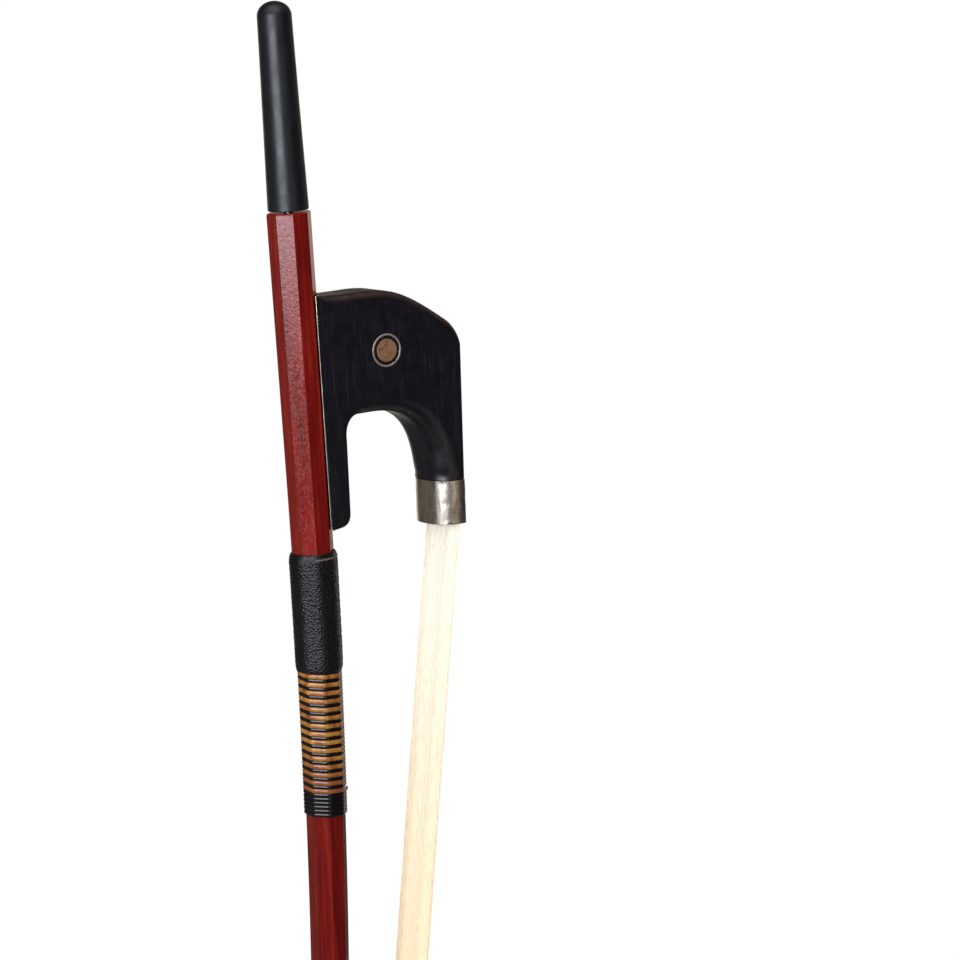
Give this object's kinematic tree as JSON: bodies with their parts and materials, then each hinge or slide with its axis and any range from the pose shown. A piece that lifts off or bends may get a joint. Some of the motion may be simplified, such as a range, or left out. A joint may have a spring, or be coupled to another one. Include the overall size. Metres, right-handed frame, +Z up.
{
  "type": "double bass bow",
  "caption": "Double bass bow held underhand: cambered octagonal stick, deep ebony frog with a finger throat, screw and long button, hair, thumb leather and winding.",
  "frame": {"origin": "middle of the bow's footprint as it lies on its side, at the height of its lowest point", "axes": "+X along the handle from the button to the head, +Y from the stick to the frog's hair side, +Z up, across the bow"},
  "size_m": [0.7474, 0.1248, 0.0192],
  "materials": {
    "brazilwood": "satin varnish",
    "ebony": "satin",
    "polished_ebony": "polished",
    "nickel_silver": "polished, worn",
    "brass": "turned",
    "steel": "turned",
    "pearl": "polished",
    "bone": "polished",
    "maple": "cut",
    "horsehair": "fine strands",
    "leather": "pebbled",
    "tan_strip": "gloss",
    "black_strip": "gloss"
  },
  "bodies": {
    "stick": {"stick": "brazilwood", "head_liner": "ebony", "tip_plate": "bone", "head_plug": "maple", "head_knot": "horsehair", "hair": "horsehair", "thumb_leather": "leather", "winding_black": "black_strip", "winding_tan": "tan_strip"},
    "frog": {"frog": "ebony", "underslide": "nickel_silver", "underslide_screw_rear": "steel", "underslide_screw_front": "steel", "eyelet": "brass", "slide_pearl": "pearl", "slide_backing": "ebony", "frog_knot": "horsehair", "frog_plug": "maple", "ferrule": "nickel_silver", "ferrule_wedge": "maple", "eye_ring_left": "nickel_silver", "eye_ring_right": "nickel_silver", "eye_pearl_left": "pearl", "eye_pearl_right": "pearl"},
    "screw": {"screw": "steel", "button": "polished_ebony"}
  },
  "joints": [
    {"name": "screw_turn", "type": "hinge", "parent": "stick", "child": "screw", "pos_m": [-0.31144, 0.00886, 0.00959], "axis": [1, 0, 0], "range_deg": [-1200, 3600]},
    {"name": "frog_slide", "type": "slide", "parent": "stick", "child": "frog", "axis": [-1, 0, 0], "range_m": [-0.002, 0.006], "deforming": ["hair"]}
  ],
  "couplings": [
    {"joint": "screw_turn", "follows": "frog_slide", "rad_per_m": 10472}
  ]
}
